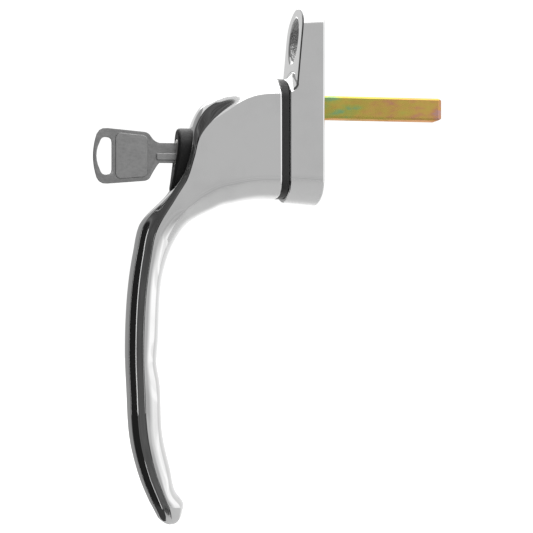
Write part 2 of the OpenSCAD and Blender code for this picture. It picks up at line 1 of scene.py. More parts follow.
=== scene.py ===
# %% [markdown]
# A chrome espagnolette handle for a window: a base screwed to the sash, a lever that turns on it, a key
# lock in the lever's neck, and the square spindle that works the gear inside the sash.
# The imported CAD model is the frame. Every piece below sits in its millimetres, with the spindle axis along
# Y, the room toward -Y and the lever hanging toward -Z.

# %% Load the frame
import json
import math

import bmesh
import bpy
import numpy as np
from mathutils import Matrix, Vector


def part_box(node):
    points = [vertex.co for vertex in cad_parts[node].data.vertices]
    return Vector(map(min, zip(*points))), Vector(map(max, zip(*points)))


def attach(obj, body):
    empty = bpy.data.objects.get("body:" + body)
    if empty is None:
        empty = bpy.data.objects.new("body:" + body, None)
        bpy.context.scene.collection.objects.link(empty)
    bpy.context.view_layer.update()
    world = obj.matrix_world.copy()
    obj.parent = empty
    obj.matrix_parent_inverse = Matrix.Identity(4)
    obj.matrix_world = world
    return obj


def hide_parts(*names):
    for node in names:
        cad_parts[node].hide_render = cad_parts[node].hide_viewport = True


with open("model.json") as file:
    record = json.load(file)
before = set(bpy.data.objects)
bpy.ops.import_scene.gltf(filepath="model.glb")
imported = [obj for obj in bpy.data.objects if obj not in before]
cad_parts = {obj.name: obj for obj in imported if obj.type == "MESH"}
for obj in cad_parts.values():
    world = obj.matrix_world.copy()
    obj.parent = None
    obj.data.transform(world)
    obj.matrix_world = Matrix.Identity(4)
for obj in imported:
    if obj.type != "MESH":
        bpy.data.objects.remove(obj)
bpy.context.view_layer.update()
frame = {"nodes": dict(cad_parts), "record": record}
nodes = frame["nodes"]
MM = 0.001


# %% [markdown]
# A surface made with numpy is a grid of points, and its faces only say which grid neighbours belong
# together. One helper writes those faces for any grid, closed round or left open, and one puts the result
# into Blender.
# Points stay in millimetres until they enter the mesh, because that is how a maker reads this handle.

# %% Grid helpers
def grid_faces(rows, cols, close_rows=False):
    """Quads of a grid that is closed along its columns: (i, j), (i, j+1), (i+1, j+1), (i+1, j)."""
    i, j = np.meshgrid(np.arange(rows if close_rows else rows - 1), np.arange(cols), indexing="ij")
    below = (i + 1) % rows
    right = (j + 1) % cols
    corners = [i * cols + j, i * cols + right, below * cols + right, below * cols + j]
    return np.stack(corners, -1).reshape(-1, 4)


def fan_faces(ring, pole):
    """Triangles from each edge of a closed ring of point numbers to one pole point."""
    return np.stack([ring, np.roll(ring, -1), np.full(len(ring), pole)], -1)


def placed(name, mesh):
    """A smooth object of the mesh in the scene, at the origin."""
    mesh.polygons.foreach_set("use_smooth", np.ones(len(mesh.polygons), dtype=bool))
    mesh.update()
    piece = bpy.data.objects.new(name, mesh)
    bpy.context.scene.collection.objects.link(piece)
    return piece


def new_piece(name, points, faces, body, stands_for=()):
    """Puts points (n, 3) in mm and lists of faces into a smooth mesh object that rides on a body."""
    mesh = bpy.data.meshes.new(name)
    mesh.from_pydata((points * MM).tolist(), [], [f for group in faces for f in group.tolist()])
    piece = placed(name, mesh)
    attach(piece, body)
    if stands_for:
        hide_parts(*stands_for)
    print(name, "has", len(mesh.vertices), "points and", len(mesh.polygons), "faces")
    return piece


print("a tube of 3 rings with 8 points each has", len(grid_faces(3, 8)), "faces")

# %% [markdown]
# The lever is a zinc die casting, polished and plated. Its section changes all the way: a tall neck with a
# rounded shoulder at the base, a flat shelf round the lock, and a slim grip with a raised spine.
# Subdivision modelling could make it, but the section's few sizes are known at stations along the lever, so
# a smooth curve through those stations gives the same lever as the CAD model, with many more points.

# %% Lever stations
# Each row in mm: shelf out, shelf up, back out, back up, half width, half width of the shelf, half width of
# the crest, chamfer depth, chamfer bulge as a share, crown, spine as a share, rounding of the back edge.
# Out counts from the start of the neck, up from the spindle axis.
LEVER_STATIONS = np.array([
    [0, 7, 0, -29, 12, 7.4, 4, 5.2, 1, 1.6, 0, 7],
    [9.4, 5.6, 5.4, -29, 11.9, 7.7, 4.4, 5.2, 1, 1.8, 0, 7],
    [17, 1.9, 9.6, -29.5, 11.7, 8.3, 5, 5, 0.5, 1.9, 0, 7],
    [22.9, -2.5, 13, -30.2, 11.5, 8.8, 5.6, 4.3, 0, 1.7, 0, 7],
    [26, -8, 16.6, -31, 11.2, 9, 6, 3.1, 0, 1, 0, 6.8],
    [27.2, -15, 20.2, -32.6, 10.8, 8.9, 6.3, 2.1, 0, 0.6, 0, 6.5],
    [29.2, -21.9, 23.6, -34.2, 10.3, 8.5, 6.4, 1.9, 0, 0.4, 0, 5.6],
    [32.6, -27.5, 27, -36.3, 9.9, 8, 6.3, 1.9, 0, 0.3, 0, 4.2],
    [39.4, -38.6, 32.1, -43.4, 9.3, 6.6, 5.1, 2.1, 0, 1.55, 1, 2.4],
    [41.1, -46.6, 34.3, -49.4, 9, 6.2, 4.8, 2.1, 0, 1.55, 1, 1.9],
    [43.28, -72, 36.3, -71.8, 8.6, 5.9, 4.6, 2.1, 0, 1.55, 1, 1.7],
    [43.23, -79, 36.65, -78.4, 8.6, 5.9, 4.6, 2.1, 0, 1.55, 1, 1.7],
    [42.98, -85, 35.8, -83.6, 8.6, 5.9, 4.6, 2.1, 0, 1.55, 1, 1.7],
    [41.58, -102.6, 34.7, -100.8, 8.3, 5.6, 4.3, 2.1, 0, 1.55, 1, 1.7],
    [38.9, -112.6, 32.5, -110.2, 7.9, 5.3, 4.1, 2, 0, 1.5, 1, 1.7],
    [36.3, -119, 30.8, -117.2, 7.5, 5, 3.8, 1.9, 0, 1.4, 1, 1.6],
    [34.8, -122.4, 28.4, -120.8, 7.1, 4.7, 3.5, 1.7, 0, 1.3, 0.9, 1.6],
    [34.2, -124.3, 28.7, -122.7, 6.3, 4.1, 3, 1.5, 0, 1.1, 0.75, 1.5]])
OUTS, UPS, SPINE = [0, 2], [1, 3], 10
NECK_OUT = -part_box("lever_gasket")[0][1] / MM
GRIP_OUT, DRAWN_REACH = 60.3, 46.2
TIP_DROP, NECK_DROP, DRAWN_DROP = 130, 29, 98
SPINE_H = 1.4
GRIP_REACH = (GRIP_OUT - NECK_OUT) / DRAWN_REACH
GRIP_STRETCH = (TIP_DROP - NECK_DROP) / DRAWN_DROP
up = LEVER_STATIONS[:, UPS]
LEVER_STATIONS[:, UPS] = np.where(up > -NECK_DROP, up, (up + NECK_DROP) * GRIP_STRETCH - NECK_DROP)
LEVER_STATIONS[:, OUTS] *= GRIP_REACH
LEVER_STATIONS[:, SPINE] *= SPINE_H
print("neck starts", round(NECK_OUT, 2), "mm out from the back of the base")

# %% [markdown]
# A casting has no corners between its stations, so every size passes through them smoothly.
# A drawn spline could do that, but a cubic from station to station keeps to the rule of the CAD lever, so
# both have the same form. Only the spine rises in straight ramps, because it starts with a clear facet.

# %% Curve through the stations
def through_stations(table, rows, steps=40):
    """Each size follows a cubic between stations whose slope at a station is the mean of the leans on both
    sides, weighted by length; the spine follows straight ramps. The rows are evenly spaced."""
    shelf = np.linalg.norm(np.diff(table[:, 0:2], axis=0), axis=1)
    back = np.linalg.norm(np.diff(table[:, 2:4], axis=0), axis=1)
    gap = ((shelf + back) / 2)[:, None]
    lean = np.diff(table, axis=0) / gap
    inner = (lean[1:] * gap[:-1] + lean[:-1] * gap[1:]) / (gap[:-1] + gap[1:])
    slope = np.vstack([1.5 * lean[:1] - 0.5 * inner[:1], inner, 1.5 * lean[-1:] - 0.5 * inner[-1:]])
    t = (np.arange(steps) / steps)[None, :, None]
    a, b, h = table[:-1, None], table[1:, None], gap[:, None]
    p, q = slope[:-1, None], slope[1:, None]
    curve = (2 * t**3 - 3 * t**2 + 1) * a + (t**3 - 2 * t**2 + t) * h * p \
        + (3 * t**2 - 2 * t**3) * b + (t**3 - t**2) * h * q
    curve[..., SPINE] = (a * (1 - t) + b * t)[..., SPINE]
    curve = np.vstack([curve.reshape(-1, table.shape[1]), table[-1:]])
    middle = (curve[:, 0:2] + curve[:, 2:4]) / 2
    along = np.concatenate([[0], np.cumsum(np.linalg.norm(np.diff(middle, axis=0), axis=1))])
    wanted = np.linspace(0, along[-1], rows)
    return np.stack([np.interp(wanted, along, column) for column in curve.T], 1)


lever_rows = through_stations(LEVER_STATIONS, rows=300)
print("lever rows:", lever_rows.shape)

# %% [markdown]
# A section of the lever runs from the middle of the front to the middle of the back. It is a crowned crest,
# a slope down from the spine, a chamfer to the side, a side that leans in where there is a spine, a round
# back edge and a slightly hollow back.
# Polishing never leaves a knife edge on a casting, so the finished ring is averaged with its neighbours a
# few times, which rounds every edge by about half a millimetre.

# %% Lever sections
SIDE_LEAN, LEAST_SIDE = 0.85, 0.6
CREST_POINTS, CREST_CROWDING, SLOPE_HOLLOW = 14, 1.7, 1.6
UPRIGHT_POINTS, SLOPE_POINTS, EDGE_POINTS = 6, 11, 19
UPRIGHT_SHARE, LEAN_FROM, LEAN_PULL = 0.1, 0.9, 0.4
FLAT_SHARE, BACK_SAG = 0.55, 0.55


def curve_of_three(p, c, q, t):
    """Quadratic curve from p to q pulled toward c: (1-t)(1-t) p + 2t(1-t) c + tt q."""
    return (1 - t)**2 * p + 2 * t * (1 - t) * c + t**2 * q


def shares(points):
    """Even shares of a stretch from 0 to 1, without the 0."""
    return np.linspace(0, 1, points)[None, 1:]


def half_sections(sizes):
    """(rows, points, 2): width x and height z above the back, from front middle to back middle.
    The crest is top - crown (x / shelf)^2, the slope takes the spine off that, chamfer, side and back edge
    are quadratic curves, and the back is hollow by sag (1 - t)^2."""
    shelf_out, shelf_up, back_out, back_up, wide, shelf, crest, depth, bulge, crown, spine, back_r = \
        np.split(sizes, sizes.shape[1], axis=1)
    h = np.hypot(shelf_out - back_out, shelf_up - back_up)
    back_r = np.minimum(back_r, h - depth - LEAST_SIDE)
    top = h + crown + spine
    crest_x = crest * (1 - np.linspace(1, 0, CREST_POINTS)[None]**CREST_CROWDING)
    w, q, s = shares(SLOPE_POINTS), shares(UPRIGHT_POINTS), shares(EDGE_POINTS)
    hollow = w**SLOPE_HOLLOW
    slope_x = crest + (shelf - crest) * hollow
    mid_x, mid_z = (shelf + wide) / 2, h - depth / 2
    pull_x = mid_x + bulge * (wide - mid_x)
    pull_z = mid_z + bulge * (h - 2 * crown / shelf * (wide - shelf) - mid_z)
    flank = h - depth - back_r
    foot_x = wide - SIDE_LEAN * spine / SPINE_H
    turn_x = 2 * foot_x - wide
    flat_x = FLAT_SHARE * wide
    low = BACK_SAG + 2 * BACK_SAG * (turn_x - flat_x) / flat_x
    x = [crest_x, slope_x, curve_of_three(shelf, pull_x, wide, w), wide + 0 * q,
         curve_of_three(wide, wide, foot_x, s), curve_of_three(foot_x, turn_x, flat_x, s),
         flat_x * (1 - w)]
    z = [top - crown * (crest_x / shelf)**2, top - crown * (slope_x / shelf)**2 - spine * hollow,
         curve_of_three(h, pull_z, h - depth, w), h - depth - UPRIGHT_SHARE * flank * q,
         curve_of_three(back_r + LEAN_FROM * flank, back_r + LEAN_PULL * flank, back_r, s),
         curve_of_three(back_r, low, BACK_SAG, s), BACK_SAG * (1 - w)**2 + 0 * h]
    return np.stack([np.concatenate(x, 1), np.concatenate(z, 1)], -1)


def polished(ring, times):
    """Each point of the closed rings becomes half of itself and a quarter of both neighbours, in turns."""
    for _ in range(times):
        ring = (np.roll(ring, 1, axis=1) + 2 * ring + np.roll(ring, -1, axis=1)) / 4
    return ring


half = half_sections(lever_rows)
flat_rings = polished(np.concatenate([half, half[:, -2:0:-1] * [-1, 1]], axis=1), times=4)
print("lever section points:", flat_rings.shape)

# %% [markdown]
# The sections stand across the lever, each on its own line from the back to the shelf. At the lower end the
# last section shrinks to a point, as the end of a finger does.
# A flat cap would catch the light as a disc, so the end follows a part of an arc instead.

# %% Lever skin
TIP_LEN, TIP_FROM, TIP_RINGS = 3.4, math.radians(40), 14
front = np.stack([lever_rows[:, 0] - lever_rows[:, 2], lever_rows[:, 1] - lever_rows[:, 3]], 1)
front /= np.linalg.norm(front, axis=1)[:, None]
rings = np.stack([
    flat_rings[..., 0],
    -(NECK_OUT + lever_rows[:, 2:3] + flat_rings[..., 1] * front[:, :1]),
    lever_rows[:, 3:4] + flat_rings[..., 1] * front[:, 1:]], -1)
rings[1:-1] = (rings[:-2] + 2 * rings[1:-1] + rings[2:]) / 4
tip_middle = (rings[-1].min(0) + rings[-1].max(0)) / 2
tip_axis = np.array([0, -front[-1, 1], -front[-1, 0]])
turn = np.linspace(TIP_FROM, math.pi / 2, TIP_RINGS)[1:-1, None, None]
shrink = np.cos(turn) / math.cos(TIP_FROM)
reach = (np.sin(turn) - math.sin(TIP_FROM)) / (1 - math.sin(TIP_FROM)) * TIP_LEN
tip = tip_middle + shrink * (rings[-1] - tip_middle) + reach * tip_axis
rings = np.concatenate([rings, tip])
m, n = rings.shape[:2]
points = np.vstack([rings.reshape(-1, 3), [rings[0].mean(0)], [tip_middle + TIP_LEN * tip_axis]])
first_ring = np.arange(n)
last_ring = (m - 1) * n + first_ring
faces = [grid_faces(m, n), fan_faces(first_ring[::-1], m * n), fan_faces(last_ring, m * n + 1)]
lever_skin = new_piece("lever_skin", points, faces, "lever", ["lever"])

# %% [markdown]
# Behind the neck the lever goes on as a round hub that turns in the base, with a square socket for the
# spindle and a groove for the circlip. It shows only from behind the base.
# A tube could be turned from a circle, but its inside is square, so each angle gets a round radius outside
# and a square one inside, and the closed profile is carried round.

# %% Lever hub
HUB_BACK, GROOVE_BACK, GROOVE_FRONT = 0.4, 0.8, 1.75
GROOVE_DEPTH, HUB_CHAMFER = 0.6, 0.2
PIN_COVER, SOCKET_PLAY = 0.3, 0.05


def hub_points(radius, flat, front_out, turns=96):
    """Profile row k at angle a: its radius outside, flat / max(|cos a|, |sin a|) inside, at its out."""
    a = np.arange(turns) * 2 * np.pi / turns
    square = flat / np.maximum(np.abs(np.cos(a)), np.abs(np.sin(a)))
    groove = radius - GROOVE_DEPTH
    outside = np.array([radius, radius, groove, groove, radius, radius - HUB_CHAMFER])
    r = np.vstack([outside[:, None] * np.ones(turns), square, square])
    out = np.array([front_out, GROOVE_FRONT, GROOVE_FRONT, GROOVE_BACK, GROOVE_BACK,
                    HUB_BACK, HUB_BACK, front_out])[:, None]
    return np.stack([r * np.cos(a), -out + 0 * r, r * np.sin(a)], -1)


spindle_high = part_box("spindle")[1]
hub_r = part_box("spindle_pin")[1][0] / MM + PIN_COVER
hub = hub_points(hub_r, spindle_high[0] / MM + SOCKET_PLAY, NECK_OUT)
hub_faces = grid_faces(*hub.shape[:2], close_rows=True)[:, ::-1]
lever_hub = new_piece("lever_hub", hub.reshape(-1, 3), [hub_faces], "lever")

# %% [markdown]
# The surround is the black moulding round the lock, a teardrop with a wide top and a narrow foot. Its front
# is upright at the top, sweeps out toward the foot, is round at its edge, and lets the plug through.
# Its outline is two circles and their tangents, so an outline set back by any amount is the same rule with
# smaller circles. That gives the rounded front edge without a bevel.

# %% Lock surround
LOCK_UP = -15.0
SURROUND_TOP, SURROUND_LOW = LOCK_UP + 1.1, LOCK_UP - 7.9
TOP_R, FOOT_R = 6.6, 4.3
EDGE_R, EDGE_STEPS, EDGE_START = 1.1, 9, 2.5
SURROUND_OUT, SWEEP, SWEEP_FROM = 44.4, 0.0075, SURROUND_TOP + 4.4
LEAD_IN = ((0.55, 0), (0.3, 0.05), (0.14, 0.25))
POCKET_OUT = -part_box("lock_surround")[1][1] / MM
PLUG_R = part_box("lock_plug")[1][0] / MM


def teardrop(inset, points=144):
    """Outline by the direction it faces: the top circle above the tangent's direction, else the foot's."""
    a = np.arange(points) * 2 * np.pi / points
    big, small = TOP_R - inset, FOOT_R - inset
    upper = np.sin(a) > -(big - small) / (SURROUND_TOP - SURROUND_LOW)
    r = np.where(upper, big, small)
    return np.stack([r * np.cos(a), np.where(upper, SURROUND_TOP, SURROUND_LOW) + r * np.sin(a)], -1)


def surround_front(xz, set_back):
    """Out position of the front, which sweeps out with the square of the depth below its start."""
    return SURROUND_OUT + SWEEP * np.maximum(0, SWEEP_FROM - xz[:, 1])**2 - set_back


def layer(line, out):
    """One ring of the shell: an outline and how far out it stands, in one number or point by point."""
    return np.column_stack([line, np.broadcast_to(out, len(line))])


outer = teardrop(0)
layers = [layer(outer, POCKET_OUT), layer(outer, surround_front(outer, EDGE_R + EDGE_START))]
for angle in np.radians(np.linspace(0, 90, EDGE_STEPS)):
    line = teardrop(EDGE_R * (1 - math.cos(angle)))
    layers.append(layer(line, surround_front(line, EDGE_R * (1 - math.sin(angle)))))
spoke = outer - [0, LOCK_UP]
spoke /= np.linalg.norm(spoke, axis=1)[:, None]
for play, drop in LEAD_IN:
    line = spoke * (PLUG_R + play) + [0, LOCK_UP]
    layers.append(layer(line, surround_front(line, drop)))
layers.append(layer(line, POCKET_OUT))
shell = np.stack(layers)[..., [0, 2, 1]] * [1, -1, 1]
shell_faces = grid_faces(*shell.shape[:2], close_rows=True)
surround = new_piece("surround_moulding", shell.reshape(-1, 3), [shell_faces], "lever",
                     ["lock_surround"])

# %% [markdown]
# Base, gasket, spindle, plug and key have the right form in the CAD model already, only their edges are too
# sharp to catch the light. Each is copied, its loose triangles are merged, and a bevel rounds its edges.
# Flat faces keep flat reflections because the normals are weighted by the size of the faces.

# %% Pieces with rounded edges
MERGE_DIST, SAME_PLANE = 2e-6, math.radians(0.5)


def eased_copy(node, name, body, width, steps=3, angle=32, inner=False, cut=None, bend=None):
    """A merged copy of a CAD node: outer edges that turn by more than the angle get a round of that width
    in mm, inner edges too if wanted. One function may cut its edges first, one may bend its points."""
    build = bmesh.new()
    build.from_mesh(nodes[node].data)
    bmesh.ops.remove_doubles(build, verts=build.verts, dist=MERGE_DIST)
    bmesh.ops.dissolve_degenerate(build, edges=build.edges, dist=MERGE_DIST)
    bmesh.ops.dissolve_limit(build, angle_limit=SAME_PLANE, verts=build.verts, edges=build.edges)
    if cut:
        cut(build)
    weight = build.edges.layers.float.new("bevel_weight_edge")
    for edge in build.edges:
        edge[weight] = float((inner or edge.is_convex) and edge.calc_face_angle(0) > math.radians(angle))
    mesh = bpy.data.meshes.new(name)
    build.to_mesh(mesh)
    build.free()
    if bend:
        points = np.empty(3 * len(mesh.vertices))
        mesh.vertices.foreach_get("co", points)
        mesh.vertices.foreach_set("co", bend(points.reshape(-1, 3)).ravel())
    piece = placed(name, mesh)
    bevel = piece.modifiers.new("eased edges", "BEVEL")
    bevel.width = width * MM
    bevel.segments = steps
    bevel.limit_method = "WEIGHT"
    bevel.use_clamp_overlap = False
    flat = piece.modifiers.new("flat faces", "WEIGHTED_NORMAL")
    flat.keep_sharp = True
    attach(piece, body)
    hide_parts(node)
    print(name, "eased by", width, "mm on", len(mesh.polygons), "faces")
    return piece


base_casting = eased_copy("base_plate", "base_casting", "base", width=0.6)
gasket_plate = eased_copy("lever_gasket", "gasket_plate", "lever", width=0.12, steps=2)
spindle_bar = eased_copy("spindle", "spindle_bar", "lever", width=0.12, steps=2,
                         angle=25)

# %% [markdown]
# The key is stamped from sheet, and the outer end of its bow is a slow arc. The CAD outline has only a few
# points there, and a bend needs points to bend.
# So the straight runs at that end are cut first, and then all points near the end move onto a parabola
# together. The plug is a plain turned piece, and its copy only needs a fine break on its edges.

# %% Key and plug
ARC_RISE, ARC_HALF, ARC_ZONE = 0.6 * MM, 5 * MM, 0.65 * MM
LEAST_RUN, RUN_CUTS, OUTERMOST = 3 * MM, 6, 0.01 * MM


def cut_bow_end(build):
    """Cuts the long straight edges at the outer end of the bow into short ones."""
    end = min(vert.co.y for vert in build.verts)
    runs = [edge for edge in build.edges if max(vert.co.y for vert in edge.verts) < end + ARC_ZONE
            and edge.calc_length() > LEAST_RUN]
    bmesh.ops.subdivide_edges(build, edges=runs, cuts=RUN_CUTS, use_grid_fill=True)


def bend_bow_end(points):
    """Points near the end get y = end + rise ((z - middle) / half)^2, the outermost point is the middle."""
    y, z = points[:, 1], points[:, 2]
    end = y.min()
    middle = z[np.argmax(y < end + OUTERMOST)]
    arc = end + ARC_RISE * ((z - middle) / ARC_HALF)**2
    return np.column_stack([points[:, 0], np.where(y < end + ARC_ZONE, arc, y), z])


key_blank = eased_copy("key", "key_blank", "key", width=0.1, steps=2, angle=40, inner=True,
                       cut=cut_bow_end, bend=bend_bow_end)
plug_face = eased_copy("lock_plug", "plug_face", "plug", width=0.08, steps=2, angle=40)

# %% [markdown]
# Finishes that share an effect share a node group: the haze of handling on polish, the fine grain of a
# mould, the streaks of a grinding belt, and the paler metal where edges are rubbed.
# A group gives out only values that change over the surface. Everything constant is set on the shader.

# %% Node group helpers
def feed(tree, socket, value):
    """Links an output to the socket, or sets a number, colour or vector on it."""
    if isinstance(value, bpy.types.NodeSocket):
        tree.links.new(value, socket)
    else:
        socket.default_value = value


def add_node(tree, kind, inputs=None, **settings):
    """A node with its settings; inputs give a socket's name or number and what feeds it."""
    node = tree.nodes.new(kind)
    for key, value in settings.items():
        setattr(node, key, value)
    for where, value in (inputs or {}).items():
        feed(tree, node.inputs[where], value)
    return node


def ranged(tree, value, low, high, to_low=0.0, to_high=1.0, **settings):
    """The value's place between low and high, carried to the same place between to_low and to_high."""
    ends = {"Value": value, "From Min": low, "From Max": high, "To Min": to_low, "To Max": to_high}
    return add_node(tree, "ShaderNodeMapRange", ends, **settings).outputs["Result"]


def arithmetic(tree, operation, first, second):
    """Two values joined by the operation."""
    return add_node(tree, "ShaderNodeMath", {0: first, 1: second}, operation=operation).outputs["Value"]


def noise(tree, place, scale, detail=2.0, rough=0.5):
    """Soft noise from 0 to 1, with the scale in features per metre."""
    inputs = {"Vector": place, "Scale": scale, "Detail": detail, "Roughness": rough}
    return add_node(tree, "ShaderNodeTexNoise", inputs).outputs["Fac"]


def effect_group(name, numbers, outputs):
    """A node group with a Vector and number inputs: its tree, what it is given and its output node."""
    tree = bpy.data.node_groups.new(name, "ShaderNodeTree")
    tree.interface.new_socket("Vector", in_out="INPUT", socket_type="NodeSocketVector")
    for label, default in numbers.items():
        socket = tree.interface.new_socket(label, in_out="INPUT", socket_type="NodeSocketFloat")
        socket.default_value = default
    for label in outputs:
        tree.interface.new_socket(label, in_out="OUTPUT", socket_type="NodeSocketFloat")
    print("group:", name, "gives", outputs)
    return tree, tree.nodes.new("NodeGroupInput").outputs, tree.nodes.new("NodeGroupOutput")


# %% [markdown]
# Hands leave a haze on polish: soft clouds where the mirror is a little duller.
# A painted map could show it, but a noise whose middle is stretched to a mask needs no map, and the same
# mask serves the colour.

# %% Haze of handling
haze, given, result = effect_group("handling haze", {"Scale": 60.0, "Low": 0.04, "High": 0.1},
                                   ["Roughness", "Mask"])
cloud = noise(haze, given["Vector"], given["Scale"], detail=4.0, rough=0.6)
smear = ranged(haze, cloud, low=0.38, high=0.68, interpolation_type="SMOOTHSTEP")
feed(haze, result.inputs["Roughness"], ranged(haze, smear, 0.0, 1.0, given["Low"], given["High"]))
feed(haze, result.inputs["Mask"], smear)

# %% [markdown]
# A spark-eroded mould and a casting both have a fine grain of bumps and pits.
# Noise alone looks like fog, so it is multiplied by the distance to scattered points, which gives it small
# round cells.

# %% Fine grain of a mould or a casting
grain, given, result = effect_group("fine grain", {"Scale": 1500.0}, ["Height", "Mask"])
bumps = noise(grain, given["Vector"], given["Scale"], detail=3.0, rough=0.55)
cells = add_node(grain, "ShaderNodeTexVoronoi", {"Vector": given["Vector"], "Scale": given["Scale"]})
feed(grain, result.inputs["Height"], arithmetic(grain, "MULTIPLY", bumps, cells.outputs["Distance"]))
feed(grain, result.inputs["Mask"], ranged(grain, bumps, low=0.35, high=0.65))

# %% [markdown]
# A belt or a drawing die leaves streaks along its way.
# The same noise makes them if the place that it reads is stretched first, so the group stays even and each
# finish brings its own stretch.

# %% Streaks of grinding
streak, given, result = effect_group("grinding streaks", {"Scale": 900.0}, ["Height", "Mask"])
lines = noise(streak, given["Vector"], given["Scale"], detail=5.0, rough=0.7)
feed(streak, result.inputs["Height"], lines)
feed(streak, result.inputs["Mask"], ranged(streak, lines, low=0.3, high=0.7))

# %% [markdown]
# Edges that rub on a pocket or a keyhole get paler.
# Pointiness is high on outward edges, and a noise breaks it up, so the wear comes and goes along an edge.

# %% Rubbed edges
rubbed, given, result = effect_group("rubbed edges", {"Scale": 400.0}, ["Mask"])
shape = add_node(rubbed, "ShaderNodeNewGeometry")
ridge = ranged(rubbed, shape.outputs["Pointiness"], low=0.52, high=0.6)
broken = noise(rubbed, given["Vector"], given["Scale"])
feed(rubbed, result.inputs["Mask"], arithmetic(rubbed, "MULTIPLY", ridge, broken))

# %% [markdown]
# A finish is one material with one shader, and what varies on it comes from the groups.
# A few helpers do the wiring, so that each recipe below reads like a list of what was done to the piece.

# %% Finish helpers
def start_finish(name, metallic=0.0):
    """A material with its node tree, its Principled shader and its Object coordinates."""
    material = bpy.data.materials.new(name)
    material.use_nodes = True
    tree = material.node_tree
    shader = tree.nodes["Principled BSDF"]
    shader.inputs["Metallic"].default_value = metallic
    return material, tree, shader, tree.nodes.new("ShaderNodeTexCoord").outputs["Object"]


def use_group(tree, group, place, **values):
    """The outputs of an effect group that is placed in a material with its own values."""
    node = add_node(tree, "ShaderNodeGroup", node_tree=group)
    feed(tree, node.inputs["Vector"], place)
    for key, value in values.items():
        node.inputs[key.title()].default_value = value
    return node.outputs


def grey(level):
    """A neutral colour."""
    return (level, level, level)


def opaque(colour):
    """A colour of three numbers with full alpha; an output stays as it is."""
    return colour if isinstance(colour, bpy.types.NodeSocket) else (*colour, 1)


def between_colours(tree, mask, first, second, **settings):
    """Colour that goes from the first to the second with the mask."""
    inputs = {"Factor": mask, 6: opaque(first), 7: opaque(second)}
    return add_node(tree, "ShaderNodeMix", inputs, data_type="RGBA", **settings).outputs[2]


def stretched(tree, place, scale):
    """The place with each axis scaled, so that a pattern read there is long where the scale is small."""
    return add_node(tree, "ShaderNodeMapping", {"Vector": place, "Scale": scale}).outputs["Vector"]


def bumped(tree, shader, height, strength, depth_mm):
    """Height in the group's units pushes the surface by up to depth_mm, on top of an earlier bump."""
    inputs = {"Height": height, "Strength": strength, "Distance": depth_mm * MM}
    bump = add_node(tree, "ShaderNodeBump", inputs)
    for earlier in shader.inputs["Normal"].links:
        feed(tree, bump.inputs["Normal"], earlier.from_socket)
    feed(tree, shader.inputs["Normal"], bump.outputs["Normal"])


# %% [markdown]
# Chrome plate is a thin bright layer over polished zinc. It mirrors the room with a little over half of the
# light, is faintly hazed where it was handled, and follows the slight waves that polishing leaves.
# A pure mirror would look like computer chrome, so the haze moves roughness and colour, and a long low bump
# bends the reflections a little.

# %% Chrome plate
def chrome_plate(name, wave_scale, low, high):
    """Bright chrome: mirror colour and roughness follow the haze, the normal follows slow waves."""
    material, tree, shader, place = start_finish(name, metallic=1)
    handled = use_group(tree, haze, place, scale=45, low=low, high=high)
    feed(tree, shader.inputs["Roughness"], handled["Roughness"])
    mirror = between_colours(tree, handled["Mask"], grey(0.6), grey(0.565))
    feed(tree, shader.inputs["Base Color"], mirror)
    waves = use_group(tree, grain, place, scale=wave_scale)
    bumped(tree, shader, waves["Height"], strength=0.12, depth_mm=0.02)
    return material, tree, shader, place


base_chrome, *base_nodes = chrome_plate("base_chrome", 110, low=0.05, high=0.11)
lever_chrome, *_ = chrome_plate("lever_chrome", 90, low=0.04, high=0.1)
finishes = {"base_chrome": base_chrome, "lever_chrome": lever_chrome}
print("finishes:", list(finishes))

# %% [markdown]
# No polishing wheel gets into the recess of the upper screw, so the plate there shows the ripples of the
# raw casting.
# The recess is only a place on the base, so its ripples are a second bump on the same chrome, let through
# where the distance from the screw's axis is small.

# %% Ripples in the screw recess
SCREW_UP, RECESS_R, RECESS_FADE = 21.5 * MM, 7.0 * MM, 0.4 * MM


def rippled_recess(tree, shader, place, up, radius):
    """Ripples where the distance from an axis along Y, at a height up, is under the radius."""
    split = add_node(tree, "ShaderNodeSeparateXYZ", {"Vector": place})
    rise = arithmetic(tree, "SUBTRACT", split.outputs["Z"], up)
    across = add_node(tree, "ShaderNodeCombineXYZ", {"X": split.outputs["X"], "Z": rise})
    distance = add_node(tree, "ShaderNodeVectorMath", {0: across.outputs["Vector"]}, operation="LENGTH")
    inside = ranged(tree, distance.outputs["Value"], low=radius, high=radius - RECESS_FADE)
    ripples = use_group(tree, streak, place, scale=420)
    height = arithmetic(tree, "MULTIPLY", ripples["Height"], inside)
    bumped(tree, shader, height, strength=1.0, depth_mm=1.1)


rippled_recess(*base_nodes, SCREW_UP, RECESS_R)
print("recess at mm up:", round(SCREW_UP / MM, 1))

# %% [markdown]
# The gasket plate and the surround are moulded in black plastic. The mould was spark eroded, so the skin
# has a fine grain that breaks up the highlight, and a dry look in the plate that the lever grinds on.
# One plain black would swallow the form, so grain moves the colour and haze the roughness.

# %% Black mouldings
def moulded_black(name, dark, pale, low, high, gloss, grain_scale):
    """Moulded plastic: the grain raises the skin and moves its colour, haze moves its roughness."""
    material, tree, shader, place = start_finish(name)
    shader.inputs["Specular IOR Level"].default_value = gloss
    skin = use_group(tree, grain, place, scale=grain_scale)
    dusty = use_group(tree, haze, place, scale=120, low=low, high=high)
    feed(tree, shader.inputs["Base Color"], between_colours(tree, skin["Mask"], grey(dark), grey(pale)))
    feed(tree, shader.inputs["Roughness"], dusty["Roughness"])
    bumped(tree, shader, skin["Height"], strength=0.4, depth_mm=0.03)
    return material


